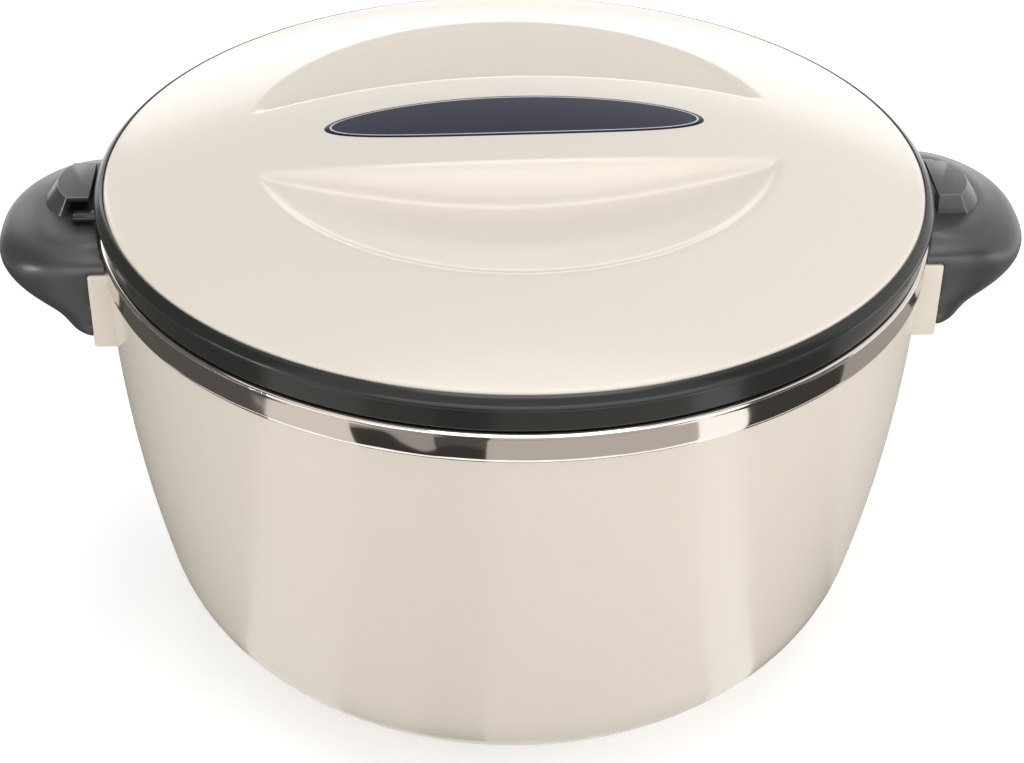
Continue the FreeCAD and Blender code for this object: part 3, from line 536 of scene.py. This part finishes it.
ringSet = {
    "foot": (145.4, 171.4), "neck": (145.8, 179.2), "lip": (147.0, 179.8), "lipTop": 181.4,
    "shoulder": (143.85, 184.05), "deckTop": 180.4, "deckBottom": 178.0,
    "chamfer": (1.1, 0.55), "bore": 126.0, "wall": 2.8, "steps": 240,
    "lug": {"near": 12.5, "far": 17.9, "reach": 154.2, "low": 172.7, "top": 175.1, "root": 143.6, "round": 1.1},
}


def makeRing():
    r = ringSet
    skirt = r["foot"][0] - r["wall"]
    lipX = r["lip"][0]
    outline = [
        (r["bore"], r["deckBottom"], 0.4), (skirt, r["deckBottom"], 0.6),
        (skirt, r["foot"][1], 0.5), (r["foot"][0], r["foot"][1], 0.8),
        (r["neck"][0], r["neck"][1], 0.4), (lipX, r["lip"][1], 0.5),
        (lipX, r["lipTop"], 0.9),
        (r["shoulder"][0] + r["chamfer"][0], r["shoulder"][1] - r["chamfer"][1], 0.6),
        (r["shoulder"][0], r["shoulder"][1], 0.25),
        (r["shoulder"][0], r["deckTop"], 0.3), (r["bore"], r["deckTop"], 0.4),
    ]
    ring = turnProfile(outline, r["steps"])
    lug = r["lug"]
    lugs = []
    for side in (1, -1):
        limits = (sorted((side * lug["root"], side * lug["reach"])),
                  sorted((side * lug["near"], side * lug["far"])), (lug["low"], lug["top"]))
        lugs.append(roundedBlock(limits, lug["round"], 3))
    joinTo(ring, lugs)
    finishPiece(ring, "lidRing", "lid", [ringAbs], ["lid_ring"], 40)


makeRing()


# Steel band

bandSet = {
    "outer": 146.1, "wall": 0.8, "bottom": 160.5, "top": 171.0, "flange": 134.0,
    "bead": 0.5, "beadFoot": 1.7, "beadRise": 0.2, "beadTop": 0.55, "topRound": 0.5,
    "curl": (0.06, 0.15), "curlRise": (0.5, 1.1), "steps": 240,
}


def makeBand():
    b = bandSet
    outer, bottom, top = b["outer"], b["bottom"], b["top"]
    inner = outer - b["wall"]
    outline = [
        (b["flange"], top - b["wall"]), (inner, top - b["wall"], 0.2),
        (inner, bottom + 0.1), (outer + b["curl"][0], bottom, 0.25),
        (outer + b["curl"][1], bottom + b["curlRise"][0], 0.3), (outer, bottom + b["curlRise"][1], 0.6),
        (outer, top - b["beadFoot"] - 0.5, 0.3),
        (outer + b["bead"], top - b["beadFoot"] + b["beadRise"], 0.45),
        (outer + b["bead"], top - b["beadTop"], 0.45),
        (outer - b["topRound"], top, 0.4), (b["flange"], top),
    ]
    band = turnProfile(outline, b["steps"])
    finishPiece(band, "steelBand", "pot", [bandSteel], ["rim_band"], 50)


makeBand()


# Bowl with its two handle pads

bowlSet = {
    "radius": 145.2, "top": 170.2, "straight": 158.0, "wall": 2.6, "sideArc": 530.0, "corner": 52.0,
    "foot": 1.6, "recess": 75.7, "recessTop": 8.6, "fillHole": 8.0, "arcSteps": 28, "steps": 224,
    "pad": {"reach": 147.6, "half": 39.5, "low": 135.0, "top": 164.0, "inside": 137.5, "round": 1.1},
}


def bowlSide(inset, corner, bottom):
    # the side arc and the corner arc below it, from the top down
    count = bowlSet["arcSteps"]
    side = bowlSet["sideArc"] - inset
    sideX = bowlSet["radius"] - inset - side
    drop = bowlSet["straight"] - bottom - corner
    cornerX = sideX + math.sqrt((side - corner) ** 2 - drop ** 2)
    lean = math.degrees(math.atan2(drop, cornerX - sideX))
    return (arcPoints((sideX, bowlSet["straight"]), side, 0, -lean, count)
            + arcPoints((cornerX, bottom + corner), corner, -lean, -90, count // 2)[1:])


def makeBowl():
    b = bowlSet
    wall = b["wall"]
    outline = [(b["radius"], b["top"])] + bowlSide(0, b["corner"], b["foot"])
    outline += [(b["recess"], b["foot"], 0.6), (b["recess"], b["recessTop"], 0.5)]
    outline += [(b["fillHole"], b["recessTop"])]
    outline += [(b["fillHole"], b["recessTop"] + wall), (b["recess"] + wall, b["recessTop"] + wall)]
    outline += [(b["recess"] + wall, b["foot"] + wall)]
    outline += bowlSide(wall, b["corner"] - wall, b["foot"] + wall)[::-1]
    outline += [(b["radius"] - wall, b["top"])]
    bowl = turnProfile(outline, b["steps"])
    p = b["pad"]
    pads = []
    for side in (1, -1):
        limits = (sorted((side * p["inside"], side * p["reach"])),
                  (-p["half"], p["half"]), (p["low"], p["top"]))
        pads.append(roundedBlock(limits, p["round"], 4))
    joinTo(bowl, pads)
    finishPiece(bowl, "outerBowl", "pot", [ivory], ["outer_shell"], 40)


makeBowl()


# Handles and latch caps

gripSet = {
    "flat": 0.05, "grain": 0.6, "soften": 60, "back": 147.6, "blend": 4.0,
    "droop": 2.6, "droopStart": 3.0, "droopWidth": 36.0, "droopReach": 30.0, "droopCurve": 1.4,
    "toe": 139.3, "tall": 32.2,
}
capSet = {
    "flat": 0.05, "round": 0.7, "angle": 28, "foot": 171.5, "bevelFrom": 178.3, "bevelPast": 157.1, "sunk": 0.5,
    "slack": 0.05,
}


def makeGrip(side):
    # the handle as one soft moulding: an even skin, smoothed more the farther it is from the pad
    g = gripSet
    grip = mergedCopy(side + "_handle", g["flat"])
    applyModifier(grip, "REMESH", mode="VOXEL", voxel_size=g["grain"] * mm)
    away = grip.vertex_groups.new(name="away")
    for vert in grip.data.vertices:
        share = (abs(vert.co.x) / mm - g["back"]) / g["blend"]
        away.add([vert.index], min(max(share, 0), 1), "REPLACE")
    applyModifier(grip, "SMOOTH", factor=0.5, iterations=g["soften"], vertex_group="away")
    # the hood droops a little towards the back, more the farther it is from the pad
    for vert in grip.data.vertices:
        behind = min(max((vert.co.y / mm - g["droopStart"]) / g["droopWidth"], 0), 1)
        outward = min(max((abs(vert.co.x) / mm - g["back"]) / g["droopReach"], 0), 1)
        upward = min(max((vert.co.z / mm - g["toe"]) / g["tall"], 0), 1)
        eased = outward * outward * (3 - 2 * outward)
        vert.co.z -= g["droop"] * behind ** g["droopCurve"] * eased * upward * mm
    finishPiece(grip, side + "Grip", "pot", [darkAbs], [side + "_handle"], 50)


def makeCover(side):
    # the faceted cap, its top and outer edges made lighter as a painted highlight, its foot sunk into the
    # handle's skin
    c = capSet
    cover = mergedCopy(side + "_latch_cap", c["flat"])
    cover.data.materials.append(capAbs)
    cover.data.materials.append(edgeHighlightAbs)
    bpy.ops.object.mode_set(mode="EDIT")
    bpy.ops.mesh.select_all(action="DESELECT")
    cage = bmesh.from_edit_mesh(cover.data)
    for edge in cage.edges:
        sharp = len(edge.link_faces) == 2 and edge.calc_face_angle() > math.radians(c["angle"])
        outside = all(vert.co.z > c["bevelFrom"] * mm or abs(vert.co.x) > c["bevelPast"] * mm
                      for vert in edge.verts)
        edge.select_set(sharp and outside)
    bmesh.update_edit_mesh(cover.data)
    # the bevel faces take the lighter second material: a painted highlight along the top and outer edges
    bpy.ops.mesh.bevel(offset=c["round"] * mm, segments=3, affect="EDGES", material=1, clamp_overlap=True)
    bpy.ops.object.mode_set(mode="OBJECT")
    for vert in cover.data.vertices:
        if vert.co.z < (c["foot"] + c["slack"]) * mm:
            vert.co.z -= c["sunk"] * mm
    applyModifier(cover, "WEIGHTED_NORMAL", keep_sharp=True, weight=80)
    finishPiece(cover, side + "LatchCover", "pot", [capAbs], [side + "_latch_cap"], 30)


for side in ("left", "right"):
    makeGrip(side)
    makeCover(side)


# Camera at the photograph's viewing angle

cameraSet = {
    "distance": 809.7,      # mm from the target
    "elevation": 34.66,     # degrees above the table
    "turn": -2.9,           # degrees about the pot's axis
    "roll": 0.75,
    "targetX": -0.12, "targetZ": 81.84,
    "lens": 74.80,          # mm
    "shift": (0.0007, 0.0204),
}


def placeCamera():
    e = math.radians(cameraSet["elevation"])
    turn = Matrix.Rotation(math.radians(cameraSet["turn"]), 3, "Z")
    back = turn @ Vector((0, -math.cos(e), math.sin(e)))
    right = turn @ Vector((1, 0, 0))
    up = turn @ Vector((0, math.sin(e), math.cos(e)))
    target = turn @ Vector((cameraSet["targetX"], 0, 0)) + Vector((0, 0, cameraSet["targetZ"]))
    roll = math.radians(cameraSet["roll"])
    across = math.cos(roll) * right + math.sin(roll) * up
    upright = -math.sin(roll) * right + math.cos(roll) * up
    spot = (target + back * cameraSet["distance"]) * mm
    camera = bpy.data.objects.new("photoCamera", bpy.data.cameras.new("photoCamera"))
    bpy.context.scene.collection.objects.link(camera)
    camera.matrix_world = Matrix((
        (across.x, upright.x, back.x, spot.x),
        (across.y, upright.y, back.y, spot.y),
        (across.z, upright.z, back.z, spot.z),
        (0, 0, 0, 1)))
    camera.data.lens = cameraSet["lens"]
    camera.data.shift_x, camera.data.shift_y = cameraSet["shift"]
    camera.data.clip_start = 0.01
    bpy.context.scene.camera = camera


placeCamera()
print("camera placed")


# Floor, lamps and surroundings

# Sizes and spots in metres, as a studio's softboxes stand round a table
worldLight = 0.25
lightSet = {
    "front": {"power": 12.6, "size": (2.6, 0.8), "spot": (0.15, -1.5, 0.5)},
    "right": {"power": 3.0, "size": (0.8, 0.8), "spot": (1.25, -0.55, 0.6)},
    "top": {"power": 13.0, "size": (1.3, 1.0), "spot": (0.1, 0.0, 1.7)},
    "back": {"power": 4.9, "size": (1.8, 0.5), "spot": (0.15, 1.6, 0.45)},
    "backLeft": {"power": 1.6, "size": (0.7, 0.5), "spot": (-1.05, 0.95, 0.6)},
    "leftLow": {"power": 6.8, "size": (0.4, 0.2), "spot": (-1.45, -0.5, 0.14)},
    "rightLow": {"power": 5.0, "size": (0.4, 0.2), "spot": (1.45, -0.5, 0.14)},
}


def softLamp(name, values):
    lamp = bpy.data.lights.new(name, "AREA")
    lamp.shape = "RECTANGLE"
    lamp.size, lamp.size_y = values["size"]
    lamp.energy = values["power"]
    holder = bpy.data.objects.new(name, lamp)
    bpy.context.scene.collection.objects.link(holder)
    spot = Vector(values["spot"])
    holder.location = spot
    holder.rotation_euler = (Vector((0, 0, 0.1)) - spot).to_track_quat("-Z", "Y").to_euler()
    holder.visible_camera = False


for lampName, lampValues in lightSet.items():
    softLamp(lampName + "Softbox", lampValues)


def seenDirectly(tree):
    # one for the camera, for mirrors and through glass, nothing for light that falls on the pot
    path = addNode(tree, "ShaderNodeLightPath")
    mirrors = addNode(tree, "ShaderNodeMath", {"operation": "MAXIMUM"}, {},
                      {0: (path, "Is Camera Ray"), 1: (path, "Is Glossy Ray")})
    return addNode(tree, "ShaderNodeMath", {"operation": "MAXIMUM"}, {},
                   {0: (mirrors, "Value"), 1: (path, "Is Transmission Ray")})


world = bpy.data.worlds.new("paleStudio")
bpy.context.scene.world = world
world.use_nodes = True
worldBack = world.node_tree.nodes["Background"]
seen = seenDirectly(world.node_tree)
level = addNode(world.node_tree, "ShaderNodeMapRange", {}, {"To Min": worldLight, "To Max": 1.0},
                {"Value": (seen, "Value")})
worldBack.inputs["Color"].default_value = (1, 1, 1, 1)
world.node_tree.links.new(level.outputs["Result"], worldBack.inputs["Strength"])

floorSet = {
    "size": 6.0, "seen": "F7F7F7", "bounce": "CFCFCF",
    "lift": 0.42, "farLift": 1.0, "liftFrom": 0.55, "liftTo": 1.3,
}


def makeFloor():
    # white paper floor, lifted to white where it is seen, so that only the pot's shadow shows
    clearSelection()
    bpy.ops.mesh.primitive_plane_add(size=floorSet["size"])
    floor = bpy.context.active_object
    floor.name = "paleFloor"
    material, tree, shader, coords = startMaterial("paleStudioFloor")
    seenHere = seenDirectly(tree)
    paper = addNode(tree, "ShaderNodeValToRGB", links={"Fac": (seenHere, "Value")})
    paper.color_ramp.elements[0].color = srgb(floorSet["bounce"])
    paper.color_ramp.elements[1].color = srgb(floorSet["seen"])
    tree.links.new(paper.outputs["Color"], shader.inputs["Base Color"])
    shader.inputs["Roughness"].default_value = 0.6
    shader.inputs["Specular IOR Level"].default_value = 0.2
    # the lamps fade out from the pot, so the paper is lifted more the farther away it is
    away = addNode(tree, "ShaderNodeVectorMath", {"operation": "LENGTH"}, {}, {0: (coords, "Object")})
    rising = addNode(tree, "ShaderNodeMapRange", {},
                     {"From Min": floorSet["liftFrom"], "From Max": floorSet["liftTo"],
                      "To Min": floorSet["lift"], "To Max": floorSet["farLift"]},
                     {"Value": (away, "Value")})
    lift = addNode(tree, "ShaderNodeMath", {"operation": "MULTIPLY"}, {},
                   {0: (seenHere, "Value"), 1: (rising, "Result")})
    glow = addNode(tree, "ShaderNodeEmission", links={"Strength": (lift, "Value")})
    both = addNode(tree, "ShaderNodeAddShader", links={0: (shader, "BSDF"), 1: (glow, "Emission")})
    tree.links.new(both.outputs["Shader"], tree.nodes["Material Output"].inputs["Surface"])
    floor.data.materials.append(material)


makeFloor()

# Dark and pale cards that lie on the floor round the pot, and two dark boards that stand beside it, all out of
# the camera's sight and seen only in mirrors. Each glows at a set shade instead of being lit by the lamps:
# painted reflections for the steel and the glossy skins.
# Bearing is in degrees from the front towards the right handle, reach and height are in mm
cardSet = {
    "height": (2.0, 2.0), "steps": 16, "warmth": (1.0, 0.95, 0.9),
    "cards": {
        "leftBoard": {"bearing": (-130, -60.5), "reach": (640, 640), "shade": 0.17, "height": (0, 900)},
        "rightBoard": {"bearing": (49.5, 79), "reach": (640, 640), "shade": 0.12, "height": (0, 900)},
        "leftCard": {"bearing": (-130, -60.5), "reach": (115, 560), "shade": 0.11},
        "leftFrontCard": {"bearing": (-60.5, -36), "reach": (115, 560), "shade": 0.86},
        "frontPaleCard": {"bearing": (-36, -19), "reach": (115, 355), "shade": 0.40},
        "frontNearCard": {"bearing": (-19, -7), "reach": (115, 355), "shade": 0.10},
        "frontCard": {"bearing": (-36, -7), "reach": (355, 560), "shade": 0.05},
        "middleCard": {"bearing": (-7, 38), "reach": (115, 560), "shade": 0.60},
        "rightCard": {"bearing": (49.5, 79), "reach": (115, 560), "shade": 0.06},
        "farRightCard": {"bearing": (79, 130), "reach": (115, 560), "shade": 0.42},
    },
}


def makeCard(name, card):
    clearSelection()
    bpy.ops.mesh.primitive_grid_add(x_subdivisions=cardSet["steps"], y_subdivisions=1, size=1)
    piece = bpy.context.active_object
    piece.name = name
    first, last = card["bearing"]
    near, far = card["reach"]
    low, high = card.get("height", cardSet["height"])
    for vert in piece.data.vertices:
        # the grid's own x and y run from minus a half to a half
        along, out = vert.co.x + 0.5, vert.co.y + 0.5
        bearing = math.radians(first + (last - first) * along)
        reach = (near + (far - near) * out) * mm
        level = (low + (high - low) * out) * mm
        vert.co = Vector((reach * math.sin(bearing), -reach * math.cos(bearing), level))
    material, tree = startMaterial(name + "Board")[:2]
    red, green, blue = (card["shade"] * share for share in cardSet["warmth"])
    # the card glows at its set shade, unlit by the lamps: a painted reflection
    glow = addNode(tree, "ShaderNodeEmission", inputs={"Color": (red, green, blue, 1)})
    tree.links.new(glow.outputs["Emission"], tree.nodes["Material Output"].inputs["Surface"])
    piece.data.materials.append(material)
    piece.visible_camera = False
    piece.visible_diffuse = False
    piece.visible_transmission = False
    piece.visible_shadow = False


for cardName, card in cardSet["cards"].items():
    makeCard(cardName, card)

bpy.context.scene.view_settings.view_transform = "Standard"
print("studio ready")
